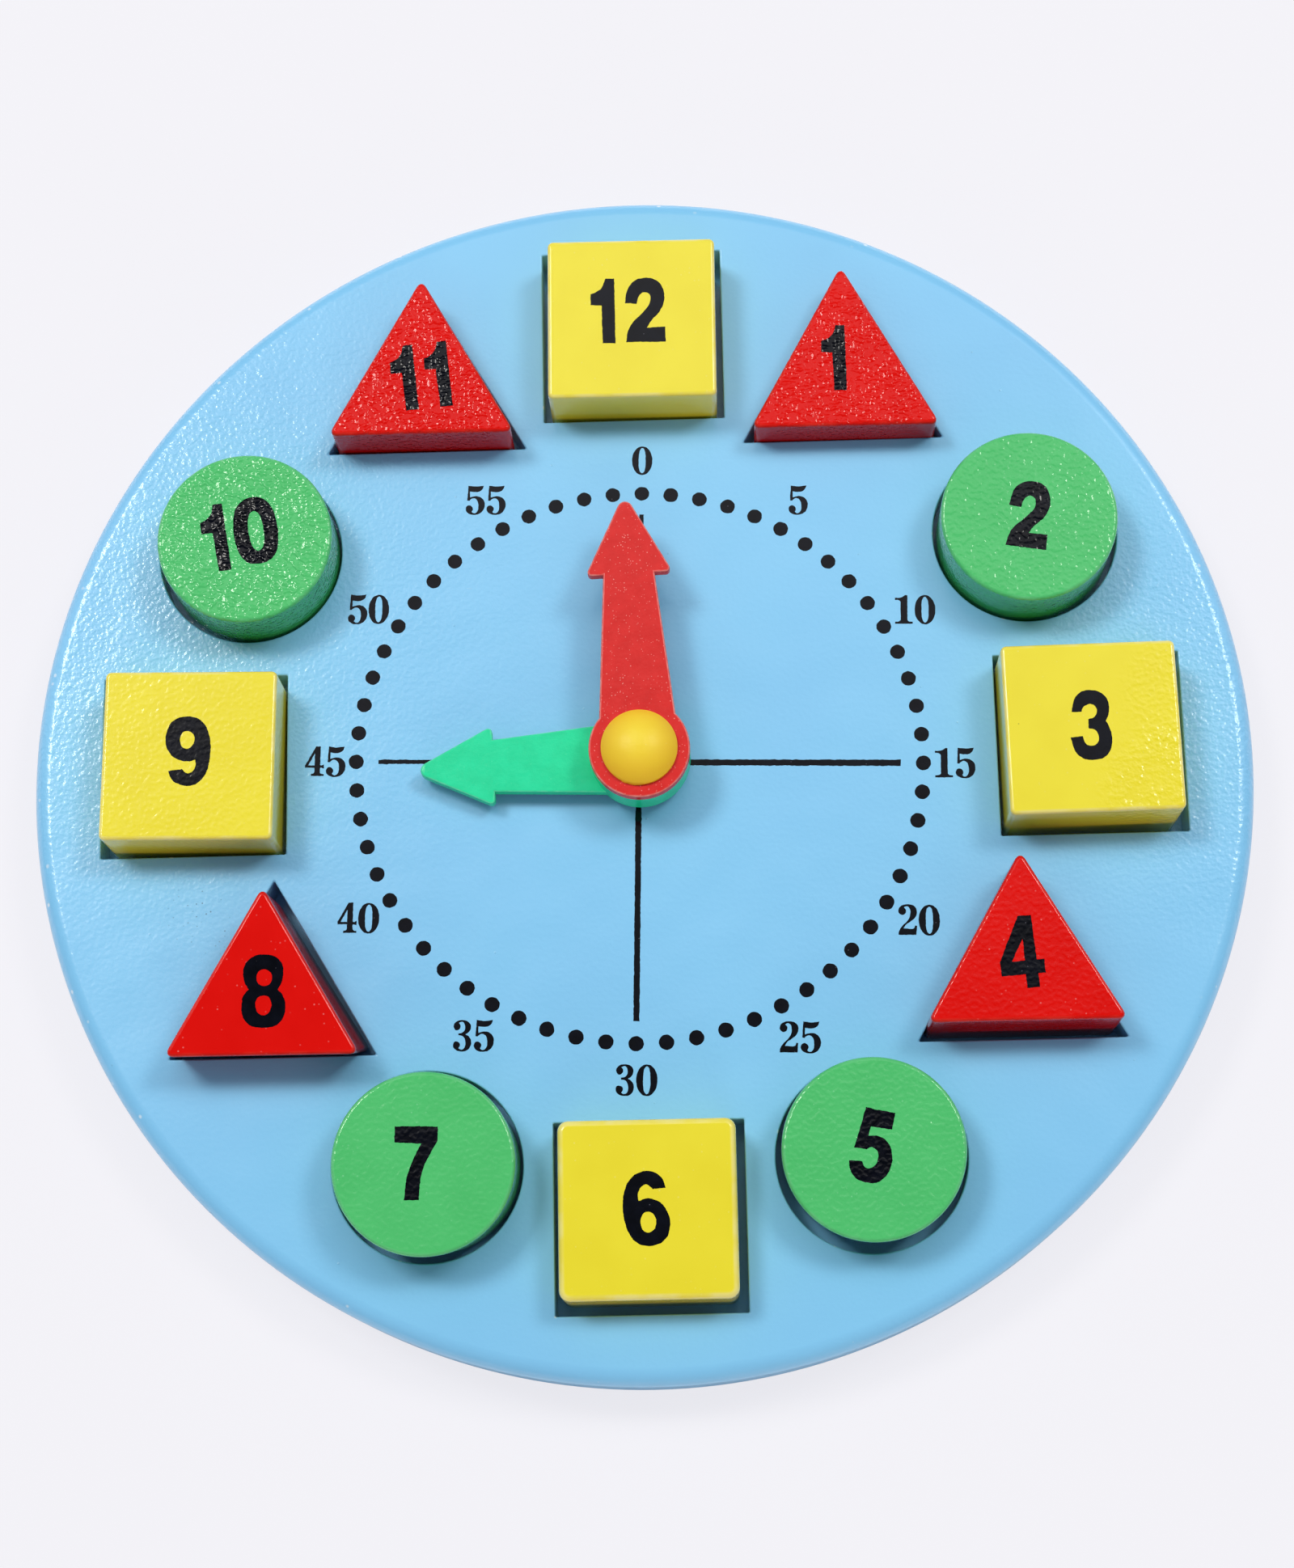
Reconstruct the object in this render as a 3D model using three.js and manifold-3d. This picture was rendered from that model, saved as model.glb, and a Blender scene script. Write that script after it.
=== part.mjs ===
// Wooden learning clock: a round board with twelve shaped seats, a numbered block lying in each seat,
// and two hands that turn on a capped pin.
// Millimetres. +Z points out of the dial and +Y towards the twelve. The origin is on the pin's axis,
// in the plane that the board lies on.

import * as THREE from 'three';
import { mergeVertices } from 'three/addons/utils/BufferGeometryUtils.js';
import Module from 'manifold-3d';

const wasm = await Module();
wasm.setup();

// Board: two round sheets glued face to face, with a fine bevel on each side of the glue line
const face_board_thickness = 9;
const backing_board_thickness = 6;
const rim_round = 3.5;
const heel_round = 1.5;
const seam_bevel = 0.4;

// Blocks: all cut from one thickness, which stands out of the seats far enough to grip
const block_thickness = 20.3;
const square_block_side = 32.9;
const round_block_diameter = 33.9;
const triangle_block_side = 36.5;
const square_corner_round = 1.1;
const triangle_corner_round = 1;
const block_edge_round = 0.8;

// Seats: the openings cut through the face board, each wider than its block by this much all round,
// of which a little is left wherever the block lies
const square_seat_clearance = 1.4;
const round_seat_clearance = 0.95;
const triangle_seat_clearance = 0.81;
const least_gap = 0.25;
const seat_corner_round = 0.3;

// Wood left between two neighbouring seats, and outside the square seats
const seat_spacing = 6;
const rim_margin = 12.3;

// Seat centres to the right of and above the pin's axis, as shares of the ring that they lie on.
// A seat on the left mirrors the one on the right.
const seat_place_shares = {
  12: [0, 1.007],
  1: [0.47, 0.871],
  2: [0.867, 0.507],
  3: [0.986, 0.02],
  4: [0.807, -0.502],
  5: [0.473, -0.875],
  6: [0, -0.992],
};

// How each block lies in its seat: its offset to the right and upwards as shares of its free play,
// and its turn, counter-clockwise in degrees
const blocks = [
  { hour: 12, form: 'square', offset_shares: [0.15, -0.7], turn: -0.5 },
  { hour: 1, form: 'triangle', offset_shares: [0.35, -1], turn: 0.3 },
  { hour: 2, form: 'round', offset_shares: [-0.2, -0.25], turn: -8.6 },
  { hour: 3, form: 'square', offset_shares: [-0.7, 0.2], turn: 0.6 },
  { hour: 4, form: 'triangle', offset_shares: [-0.35, 0.85], turn: -0.2 },
  { hour: 5, form: 'round', offset_shares: [0, 0.35], turn: -11.6 },
  { hour: 6, form: 'square', offset_shares: [-0.2, 0.6], turn: -0.1 },
  { hour: 7, form: 'round', offset_shares: [0.4, -0.9], turn: -1.6 },
  { hour: 8, form: 'triangle', offset_shares: [-0.6, -1], turn: -0.4 },
  { hour: 9, form: 'square', offset_shares: [0.65, -0.5], turn: -1.2 },
  { hour: 10, form: 'round', offset_shares: [0.65, -0.25], turn: 8.4 },
  { hour: 11, form: 'triangle', offset_shares: [-0.45, -1], turn: -0.3 },
];

// Hands: flat arrows. Under its hub the hour hand has a collar that holds it clear of the dial, and on
// top a boss that the minute hand turns on.
const hand_thickness = 2.6;
const hand_edge_round = 0.4;
const hub_radius = 9.6;
const collar_radius = 6.2;
const collar_height = 2.8;
const boss_height = 4;
const barb_round = 0.8;
const tip_round = 1.5;

// Each hand's half widths at the stem's root, at the stem's end and across the barbs; how far from the
// axis the stem meets the head and the head's edges would meet; and its counter-clockwise turn in degrees
const minute_hand_sizes = {
  stem_root_half_width: 7.25,
  stem_end_half_width: 4.95,
  head_half_width: 8.4,
  head_start: 34.5,
  head_point: 51,
  turn: 2.2,
};
const hour_hand_sizes = {
  stem_root_half_width: 6.5,
  stem_end_half_width: 5.15,
  head_half_width: 8,
  head_start: 28.1,
  head_point: 43.3,
  turn: 92.3,
};

// Pin: a domed cap and a stem through both hands and the board, its end spread over a washer at the back
const cap_radius = 7.25;
const cap_skirt_height = 0.7;
const cap_dome_height = 3.4;
const stem_radius = 2.8;
const running_clearance = 0.3;
const rivet_head_radius = 4.6;
const rivet_head_thickness = 1.2;
const washer_radius = 7.6;
const washer_thickness = 1.6;

// Recess in the back for the washer, and how far inside it the spread end stays
const recess_margin = 0.8;
const rivet_set_back = 0.4;

// How far a cutting tool runs past the faces that it opens
const cut_overrun = 1;

// Steps that stand for round stretches
const board_steps = 96;
const round_steps = 40;
const corner_steps = 3;
const edge_steps = 2;
const dome_steps = 6;

// Seats, and the ring of twelve that they make
const square_seat_side = square_block_side + 2 * square_seat_clearance;
const round_seat_diameter = round_block_diameter + 2 * round_seat_clearance;
const triangle_seat_side = triangle_block_side + 2 * Math.tan(Math.PI / 3) * triangle_seat_clearance;
const widest_seat = Math.max(square_seat_side, round_seat_diameter, triangle_seat_side);
const seat_ring_radius = (widest_seat + seat_spacing) / (2 * Math.sin(Math.PI / 12));
const board_radius = seat_ring_radius + square_seat_side / 2 + rim_margin;

// Heights of the stack, from the plane that the board lies on
const seat_floor = backing_board_thickness;
const dial_face = seat_floor + face_board_thickness;
const hour_plate = dial_face + collar_height;
const minute_plate = hour_plate + hand_thickness + boss_height;
const cap_base = minute_plate + hand_thickness;
const bore_radius = stem_radius + running_clearance;
const washer_foot = rivet_set_back + rivet_head_thickness;
const recess_depth = washer_foot + washer_thickness;

const finishes = {
  board_paint: { color: 0x8fcdf3, roughness: 0.45, metalness: 0 },
  yellow_paint: { color: 0xeedf3a, roughness: 0.4, metalness: 0 },
  red_paint: { color: 0xe0221e, roughness: 0.4, metalness: 0 },
  green_paint: { color: 0x4dbf66, roughness: 0.4, metalness: 0 },
  green_plastic: { color: 0x2de0a0, roughness: 0.35, metalness: 0 },
  red_plastic: { color: 0xde3530, roughness: 0.35, metalness: 0 },
  yellow_plastic: { color: 0xf0d030, roughness: 0.2, metalness: 0 },
  steel: { color: 0xb8bcc0, roughness: 0.35, metalness: 1 },
};

function mesh(name, geometry, finish) {
  const made = new THREE.Mesh(geometry, new THREE.MeshStandardMaterial(finishes[finish]));
  made.name = name;
  return made;
}

// One closed skin: shared vertices merged, and the triangles that fold flat on the axis left out
function closedSkin(geometry) {
  geometry.deleteAttribute('normal');
  geometry.deleteAttribute('uv');
  const merged = mergeVertices(geometry);
  const kept = [];
  for (let i = 0; i < merged.index.count; i += 3) {
    const [a, b, c] = [0, 1, 2].map((k) => merged.index.getX(i + k));
    if (a !== b && b !== c && c !== a) kept.push(a, b, c);
  }
  merged.setIndex(kept);
  return merged;
}

function solid(geometry) {
  const skin = closedSkin(geometry);
  const vertProperties = new Float32Array(skin.attributes.position.array);
  const triVerts = new Uint32Array(skin.index.array);
  return new wasm.Manifold(new wasm.Mesh({ numProp: 3, vertProperties, triVerts }));
}

function skinOf(body) {
  const { numProp, vertProperties, triVerts } = body.getMesh();
  const geometry = new THREE.BufferGeometry();
  geometry.setAttribute('position', new THREE.BufferAttribute(new Float32Array(vertProperties), numProp));
  geometry.setIndex(new THREE.BufferAttribute(new Uint32Array(triVerts), 1));
  return geometry;
}

// Points on an arc from one angle to another, both ends included
function arcPoints(x, y, radius, from, to, steps) {
  return Array.from({ length: steps + 1 }, (unused, i) => {
    const angle = from + ((to - from) * i) / steps;
    return new THREE.Vector2(x + radius * Math.cos(angle), y + radius * Math.sin(angle));
  });
}

function circlePoints(radius, steps) {
  return arcPoints(0, 0, radius, 0, 2 * Math.PI, steps).slice(0, steps);
}

// The arc that rounds a corner between its two neighbours
function roundedCorner(before, corner, after, round) {
  const back = before.clone().sub(corner).normalize();
  const on = after.clone().sub(corner).normalize();
  const half_angle = Math.acos(back.dot(on)) / 2;
  const middle = back.clone().add(on).normalize();
  const centre = middle.clone().multiplyScalar(round / Math.sin(half_angle)).add(corner);
  const away = Math.atan2(-middle.y, -middle.x);
  const sweep = Math.PI / 2 - half_angle;
  return arcPoints(centre.x, centre.y, round, away - sweep, away + sweep, corner_steps);
}

function roundedPolygon(corners, round) {
  const count = corners.length;
  return corners.flatMap((corner, i) => {
    const before = corners[(i + count - 1) % count];
    const after = corners[(i + 1) % count];
    return roundedCorner(before, corner, after, round);
  });
}

// A square or an equilateral triangle round the origin, lying on a flat side
function regularPolygon(side_count, side, round) {
  const corner_radius = side / (2 * Math.sin(Math.PI / side_count));
  const first = -Math.PI / 2 + Math.PI / side_count;
  const turn = (2 * Math.PI) / side_count;
  const corners = arcPoints(0, 0, corner_radius, first, first + 2 * Math.PI - turn, side_count - 1);
  return roundedPolygon(corners, round);
}

function extruded(points, height, edge_round = 0) {
  const geometry = new THREE.ExtrudeGeometry(new THREE.Shape(points), {
    depth: height - 2 * edge_round,
    bevelEnabled: edge_round > 0,
    bevelThickness: edge_round,
    bevelSize: edge_round,
    bevelOffset: -edge_round,
    bevelSegments: edge_steps,
  });
  geometry.translate(0, 0, edge_round);
  return geometry;
}

function turned(profile, steps) {
  const geometry = new THREE.LatheGeometry(profile, steps);
  geometry.rotateX(Math.PI / 2);
  return geometry;
}

// The tool for a hole of any outline from the underside of a piece up to a height
function cutter(points, height) {
  const geometry = extruded(points, height + cut_overrun);
  geometry.translate(0, 0, -cut_overrun);
  return geometry;
}

function boreCutter(piece_height) {
  return solid(cutter(circlePoints(bore_radius, round_steps), piece_height + cut_overrun));
}

function seatOutline(form) {
  if (form === 'round') return circlePoints(round_seat_diameter / 2, round_steps);
  if (form === 'square') return regularPolygon(4, square_seat_side, seat_corner_round);
  return regularPolygon(3, triangle_seat_side, seat_corner_round);
}

// Seven to eleven mirror five to one
function seatPlace(hour) {
  const mirrored = hour > 6 && hour < 12;
  const [across_share, up_share] = seat_place_shares[mirrored ? 12 - hour : hour];
  const side = mirrored ? -1 : 1;
  return { x: side * across_share * seat_ring_radius, y: up_share * seat_ring_radius };
}

function faceBoard() {
  const round_foot = face_board_thickness - rim_round;
  const profile = [
    new THREE.Vector2(0, 0),
    new THREE.Vector2(board_radius - seam_bevel, 0),
    new THREE.Vector2(board_radius, seam_bevel),
    ...arcPoints(board_radius - rim_round, round_foot, rim_round, 0, Math.PI / 2, 2 * edge_steps),
    new THREE.Vector2(0, face_board_thickness),
  ];
  let body = solid(turned(profile, board_steps)).subtract(boreCutter(face_board_thickness));
  for (const { hour, form } of blocks) {
    const { x, y } = seatPlace(hour);
    const seat = cutter(seatOutline(form), face_board_thickness + cut_overrun);
    seat.translate(x, y, 0);
    body = body.subtract(solid(seat));
  }
  const board = mesh('face_board', skinOf(body), 'board_paint');
  board.position.z = seat_floor;
  return board;
}

function backingBoard() {
  const profile = [
    new THREE.Vector2(0, 0),
    ...arcPoints(board_radius - heel_round, heel_round, heel_round, -Math.PI / 2, 0, edge_steps),
    new THREE.Vector2(board_radius, backing_board_thickness - seam_bevel),
    new THREE.Vector2(board_radius - seam_bevel, backing_board_thickness),
    new THREE.Vector2(0, backing_board_thickness),
  ];
  const recess = solid(cutter(circlePoints(washer_radius + recess_margin, round_steps), recess_depth));
  const disc = solid(turned(profile, board_steps));
  const body = disc.subtract(boreCutter(backing_board_thickness)).subtract(recess);
  return mesh('backing_board', skinOf(body), 'board_paint');
}

function roundBlock() {
  const radius = round_block_diameter / 2;
  const inner = radius - block_edge_round;
  const profile = [
    new THREE.Vector2(0, 0),
    ...arcPoints(inner, block_edge_round, block_edge_round, -Math.PI / 2, 0, edge_steps),
    ...arcPoints(inner, block_thickness - block_edge_round, block_edge_round, 0, Math.PI / 2, edge_steps),
    new THREE.Vector2(0, block_thickness),
  ];
  return closedSkin(turned(profile, round_steps));
}

function squareBlock() {
  const outline = regularPolygon(4, square_block_side, square_corner_round);
  return closedSkin(extruded(outline, block_thickness, block_edge_round));
}

function triangleBlock() {
  const outline = regularPolygon(3, triangle_block_side, triangle_corner_round);
  return closedSkin(extruded(outline, block_thickness, block_edge_round));
}

// How far a block can lie off its seat's centre, square to a wall
function freePlay(form) {
  const clearance = {
    square: square_seat_clearance,
    round: round_seat_clearance,
    triangle: triangle_seat_clearance,
  }[form];
  return clearance - least_gap;
}

function numberBlock({ hour, form, offset_shares, turn }) {
  const [shape, finish] = {
    square: [squareBlock, 'yellow_paint'],
    triangle: [triangleBlock, 'red_paint'],
    round: [roundBlock, 'green_paint'],
  }[form];
  const block = mesh(`${form}_block_${hour}`, shape(), finish);
  const { x, y } = seatPlace(hour);
  const play = freePlay(form);
  block.position.set(x + offset_shares[0] * play, y + offset_shares[1] * play, seat_floor);
  block.rotation.z = THREE.MathUtils.degToRad(turn);
  return block;
}

// A hand's plate lies along +Y with its underside at zero
function handPlate(sizes) {
  const root_angle = Math.acos(sizes.stem_root_half_width / hub_radius);
  const right_barb = new THREE.Vector2(sizes.head_half_width, sizes.head_start);
  const left_barb = new THREE.Vector2(-sizes.head_half_width, sizes.head_start);
  const point = new THREE.Vector2(0, sizes.head_point);
  const outline = [
    ...arcPoints(0, 0, hub_radius, Math.PI - root_angle, 2 * Math.PI + root_angle, round_steps),
    new THREE.Vector2(sizes.stem_end_half_width, sizes.head_start),
    ...roundedCorner(left_barb, right_barb, point, barb_round),
    ...roundedCorner(right_barb, point, left_barb, tip_round),
    ...roundedCorner(point, left_barb, right_barb, barb_round),
    new THREE.Vector2(-sizes.stem_end_half_width, sizes.head_start),
  ];
  return extruded(outline, hand_thickness, hand_edge_round);
}

function hand(name, skin, finish, height, turn) {
  const made = mesh(name, skin, finish);
  made.position.z = height;
  made.rotation.z = THREE.MathUtils.degToRad(turn);
  return made;
}

function hourHand() {
  const plate = handPlate(hour_hand_sizes);
  plate.translate(0, 0, collar_height);
  const plate_middle = collar_height + hand_thickness / 2;
  const collar = extruded(circlePoints(collar_radius, round_steps), plate_middle);
  const boss_outline = circlePoints(hub_radius - hand_edge_round, round_steps);
  const boss = extruded(boss_outline, hand_thickness / 2 + boss_height);
  boss.translate(0, 0, plate_middle);
  const body = solid(plate).add(solid(collar)).add(solid(boss));
  const skin = skinOf(body.subtract(boreCutter(collar_height + hand_thickness + boss_height)));
  return hand('hour_hand', skin, 'green_plastic', dial_face, hour_hand_sizes.turn);
}

function minuteHand() {
  const skin = skinOf(solid(handPlate(minute_hand_sizes)).subtract(boreCutter(hand_thickness)));
  return hand('minute_hand', skin, 'red_plastic', minute_plate, minute_hand_sizes.turn);
}

function cappedPin() {
  const sphere_radius = (cap_radius ** 2 + cap_dome_height ** 2) / (2 * cap_dome_height);
  const sphere_centre = cap_base + cap_skirt_height + cap_dome_height - sphere_radius;
  const edge_angle = Math.acos(cap_radius / sphere_radius);
  const dome = arcPoints(0, sphere_centre, sphere_radius, edge_angle, Math.PI / 2, dome_steps);
  dome[dome_steps].x = 0;
  const profile = [
    new THREE.Vector2(0, rivet_set_back),
    new THREE.Vector2(stem_radius, rivet_set_back),
    new THREE.Vector2(rivet_head_radius, washer_foot - rivet_head_thickness / 2),
    new THREE.Vector2(rivet_head_radius, washer_foot),
    new THREE.Vector2(stem_radius, washer_foot),
    new THREE.Vector2(stem_radius, cap_base),
    new THREE.Vector2(cap_radius, cap_base),
    ...dome,
  ];
  return mesh('capped_pin', closedSkin(turned(profile, round_steps)), 'yellow_plastic');
}

function backWasher() {
  const profile = [
    new THREE.Vector2(bore_radius, 0),
    new THREE.Vector2(washer_radius, 0),
    new THREE.Vector2(washer_radius, washer_thickness),
    new THREE.Vector2(bore_radius, washer_thickness),
    new THREE.Vector2(bore_radius, 0),
  ];
  const washer = mesh('back_washer', closedSkin(turned(profile, round_steps)), 'steel');
  washer.position.z = washer_foot;
  return washer;
}

const clock = new THREE.Group();
clock.name = 'wooden_learning_clock';
clock.add(backingBoard(), faceBoard());
clock.add(...blocks.map(numberBlock));
clock.add(hourHand(), minuteHand(), cappedPin(), backWasher());

export default clock;
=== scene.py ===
"""Wooden learning clock: painted board, numbered blocks in shaped seats, two moulded hands on a capped pin.

Measurements are written in millimetres and turned to metres by mm(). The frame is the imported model's own:
the pin's axis is the origin, +Z points out of the dial and +Y towards the twelve.
"""

import math

import bmesh
import bpy
from mathutils import Matrix, Vector, noise
from mathutils.geometry import interpolate_bezier


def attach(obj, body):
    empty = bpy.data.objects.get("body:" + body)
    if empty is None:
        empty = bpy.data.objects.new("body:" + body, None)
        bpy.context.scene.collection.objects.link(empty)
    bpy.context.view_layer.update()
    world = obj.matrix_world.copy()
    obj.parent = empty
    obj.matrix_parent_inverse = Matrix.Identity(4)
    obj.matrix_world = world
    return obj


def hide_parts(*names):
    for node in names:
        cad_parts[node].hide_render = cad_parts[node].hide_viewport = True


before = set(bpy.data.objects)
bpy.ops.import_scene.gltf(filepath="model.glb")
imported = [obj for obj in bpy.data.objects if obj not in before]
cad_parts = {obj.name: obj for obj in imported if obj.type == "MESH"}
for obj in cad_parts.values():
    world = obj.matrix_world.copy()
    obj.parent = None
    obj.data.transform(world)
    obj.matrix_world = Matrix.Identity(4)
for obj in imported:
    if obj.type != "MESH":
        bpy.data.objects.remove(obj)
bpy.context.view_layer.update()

# The ink's unevenness comes from a fixed seed, so that every run gives the same prints
noise.seed_set(12)


def mm(length):
    return length / 1000


# Board
BOARD_RADIUS = 117.67
SEAT_FLOOR = 6
DIAL_FACE = 15
RIM_ROUND = 3.5
HEEL_ROUND = 1.5
SEAM_BEVEL = 0.4
SEAT_CORNER, SEAT_LIP_ROUND = 0.3, 0.35
BORE_RADIUS = 3.1
RECESS_RADIUS, RECESS_DEPTH = 8.4, 3.2

# How finely the board, the round blocks, the rings and the bores are divided, how far a cutter reaches past
# what it cuts, and the angle in degrees up to which shading runs smoothly over an edge
BOARD_STEPS, BLOCK_STEPS, RING_STEPS, BORE_STEPS = 256, 128, 96, 64
CUT_PAST = 1
SHADING_ANGLE = 40

# Seats and blocks: their sizes over the flats or along a side, the blocks' top, the roundings of corners and
# edges, the widest face that counts as part of a rounded edge, and each seat's place on the ring, to the
# right and upwards, as shares of the ring's radius
SQUARE_SIDE, SQUARE_SEAT = 32.9, 35.7
ROUND_DIAMETER, ROUND_SEAT = 33.9, 35.8
TRIANGLE_SIDE, TRIANGLE_SEAT = 36.5, 39.3
BLOCK_TOP = 26.3
BLOCK_CORNER, BLOCK_EDGE = 1.1, 0.8
WORN_AND_HIGHLIT_BAND = 0.7
SEAT_RING = 87.52
SEAT_SHARES = {
    12: (0, 1.007),
    1: (0.47, 0.871),
    2: (0.867, 0.507),
    3: (0.986, 0.02),
    4: (0.807, -0.502),
    5: (0.473, -0.875),
    6: (0, -0.992),
    7: (-0.473, -0.875),
    8: (-0.807, -0.502),
    9: (-0.986, 0.02),
    10: (-0.867, 0.507),
    11: (-0.47, 0.871),
}

# How each block lies in its seat: offset from the seat's centre to the right and upwards, and its turn
BLOCKS = {
    12: ("square", 0.17, -0.8, -0.5),
    1: ("triangle", 0.32, -0.62, -0.35),
    2: ("round", -0.14, -0.18, -8.6),
    3: ("square", -0.8, 0.23, 0.6),
    4: ("triangle", -0.1, 1.1, -0.2),
    5: ("round", 0, 0.25, -11.6),
    6: ("square", -0.23, 0.69, -0.1),
    7: ("round", 0.28, -0.63, -1.6),
    8: ("triangle", -0.34, -0.7, -0.4),
    9: ("square", 0.75, -0.57, -1.2),
    10: ("round", 0.46, -0.18, 8.4),
    11: ("triangle", -0.25, -0.56, -0.3),
}

# What sets single blocks apart: how much wider it was sawn than the others, how much taller a triangle is
# for its width, the radius of the corners and the edge, how much lower the top is, how far the saw ran
# slantwise under the front, and how far the block leans over its seat's front lip in degrees
TRAITS = {
    1: {"wide": 0.5, "stretch": 1.05, "drop": 3.4},
    4: {"wide": 0.6},
    5: {"drop": 1, "undercut": 2},
    6: {"corner": 2, "edge": 1.2, "drop": 2.4},
    7: {"undercut": 2},
    8: {"undercut": 2.4, "lean": 4},
    11: {"stretch": 1.03, "drop": 1.5},
}

# Block numerals: each figure with the place of its middle from the block's centre, and the numeral's turn
BLOCK_NUMERAL_HEIGHT = 13.6
BLOCK_NUMERALS = {
    12: ((("1", -5.55, 1.52), ("2", 2.75, 1.42)), -1.2),
    1: ((("1", -1.85, 3.4),), -1.2),
    2: ((("2", -0.08, 0.08),), -9.4),
    3: ((("3", -0.38, 0.27),), -1.7),
    4: ((("4", -0.73, 2.0),), 3.7),
    5: ((("5", -0.22, 0.51),), -12.4),
    6: ((("6", -0.2, 0),), -1.7),
    7: ((("7", -1.34, 0.13),), -1.7),
    8: ((("8", 0.5, 1.35),), -1.7),
    9: ((("9", -0.04, 0.67),), -2.2),
    10: ((("1", -5.68, 0), ("0", 2.19, 1.38)), 7.8),
    11: ((("1", -3.34, 0.95), ("1", 3.31, 1.57)), 4.4),
}

# Dial print: it was laid a little off the pin, and turned a little clockwise
PRINT_SHIFT = (-0.39, 0.21)
PRINT_TURN = -1.69
PRINT_DEPTH = 0.03
DOT_RING, DOT_RADIUS = 54.6, 1.44
NUMERAL_RING, NUMERAL_HEIGHT = 61.5, 5.7
LINE_START, LINE_REACH = 6, 50.3
LINE_WIDTHS = {0: 1.2, 90: 0.85, 180: 0.85, 270: 1.15}

# How much closer in the two numerals level with the pin stand, counted in steps of five minutes, and how far
# apart a numeral's two figures stand, as a share of their height
NUMERAL_TUCK = {3: 0.9, 9: 0.9}
FIGURE_PITCH = 0.72

# How far the ink crept at the edges of each print
BLOCK_CREEP, DOT_CREEP, LINE_CREEP, NUMERAL_CREEP = 0.09, 0.07, 0.1, 0.05

# Hands: half widths of the stem and the head, how far from the pin the head starts and would end, where
# the plate's underside lies, the hand's turn, how far it hangs to one side on its loose pin, and the rings
# moulded under and over it, each with its radius, foot and top
HAND_THICKNESS = 2.6
HAND_EDGE = 0.4
HUB_RADIUS = 9.6
BARB_ROUND, TIP_ROUND = 0.8, 1.5
HOUR_HAND = {
    "root": 6.7,
    "end": 5.15,
    "head": 7.95,
    "start": 28.1,
    "point": 44,
    "low": 17,
    "turn": 92.3,
    "sag": 0.3,
    "rings": ((6.2, DIAL_FACE, 17.5), (HUB_RADIUS, 19.2, 24.4)),
}
MINUTE_HAND = {
    "root": 7.25,
    "end": 4.95,
    "head": 8.4,
    "start": 34.5,
    "point": 51,
    "low": 24.4,
    "turn": 2.2,
    "sag": 0,
    "rings": (),
}

# Pin and washer
CAP_RADIUS, CAP_BASE, CAP_SKIRT, CAP_DOME = 7.25, 27, 0.7, 3.39
CAP_CROWN = CAP_BASE + CAP_SKIRT + CAP_DOME
STEM_RADIUS = 2.8
RIVET_RADIUS, RIVET_ROUND, RIVET_LOW, RIVET_HIGH = 4.6, 0.6, 0.4, 1.6
WASHER_RADIUS, WASHER_EDGE, WASHER_LOW, WASHER_HIGH = 7.6, 0.2, 1.6, 3.2

# The torn line of flash at the cap's foot: the height that it takes of the skirt, the direction of its
# middle and how far it spreads to either side in degrees, and its reach as a share of the cap's radius
FLASH_HEIGHT, FLASH_MIDDLE, FLASH_SPREAD, FLASH_REACH = 0.4, -108, 24, 0.03

# Lacquers: the main and the deeper tone, the tone painted on the walls as shade, the pale tone along the
# rounded edges for thin paint and a painted edge highlight, the tone of pale specks painted on the tops as
# glints, and how strongly the paint and its clear top reflect
LACQUERS = {
    "square": {
        "name": "yellow_lacquer_on_wood",
        "main": "f2e335",
        "deep": "efdf31",
        "painted_wall_shade": "f6dc3a",
        "worn_and_highlit": "f8f1b8",
        "painted_glint_tone": "f7ee8c",
        "sheen": 0.35,
        "gloss": 0.5,
    },
    "triangle": {
        "name": "red_lacquer_on_wood",
        "main": "e2120c",
        "deep": "dd0e08",
        "painted_wall_shade": "b8080c",
        "worn_and_highlit": "e63a2e",
        "painted_glint_tone": "f4a09c",
        "sheen": 0.08,
        "gloss": 0.45,
    },
    "round": {
        "name": "green_lacquer_on_wood",
        "main": "54c673",
        "deep": "50c26f",
        "painted_wall_shade": "3fb266",
        "worn_and_highlit": "78d092",
        "painted_glint_tone": "8fdca6",
        "sheen": 0.2,
        "gloss": 0.6,
    },
}

# Where the lacquer dried unevenly: a block's hour or a place on the dial, how far it reaches from there, and
# how much stronger its pebbles and its leathery wrinkles are
LACQUER_SPOTS = (
    (9, 22, 0.38, 0.0),
    (11, 20, 2.4, 0.1),
    (1, 20, 2.2, 0.0),
    (10, 20, 2.8, 0.6),
    ((-86, 52), 12, 0.0, 0.4),
    ((99, -11), 13, 0.5, 1.2),
    ((103, 8), 12, 0.6, 0.3),
    (2, 20, 1.1, 0.0),
    (5, 20, 1.0, 0.0),
    (7, 20, 0.7, 0.0),
    (4, 20, 0.5, 0.0),
)

# The floor's side in metres. It lies a hair under the board's back, so that the two don't coincide, and
# glows for the camera alone, so that it shows as pale as the wall.
FLOOR_SIDE = 6
FLOOR_GAP = 0.05
FLOOR_GLOW = 0.85

# Light: soft boxes, each with its place and sides in metres, its watts and its colour
LAMPS = {
    "left_box": ((-1.17, 0.88, 2.2), (0.65, 0.65), 24.5, "fffcf5"),
    "right_box": ((1.3, 0.88, 2.2), (0.65, 0.65), 19.0, "fffcf5"),
    "back_box": ((0, 1.1, 2.2), (2.2, 0.9), 15.3, "fffcf5"),
    "low_front_box": ((0.3, -2.4, 0.6), (1.2, 1.2), 15.0, "ffeed8"),
}

# The room's level in diffuse light, in gloss, and in the gloss of the pale wall behind the clock, where that
# wall comes in and goes out as a share of the way to the north, and the colour of the backdrop and of the
# cool diffuse light
ROOM_LIGHT, ROOM_GLOSS, WALL_GLOSS = 0.31, 0.02, 0.95
WALL_RISE, WALL_FALL = (0.05, 0.45), (0.5, 0.7)
BACKDROP, COOL_LIGHT = "fdfbfd", "e2ecff"

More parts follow.
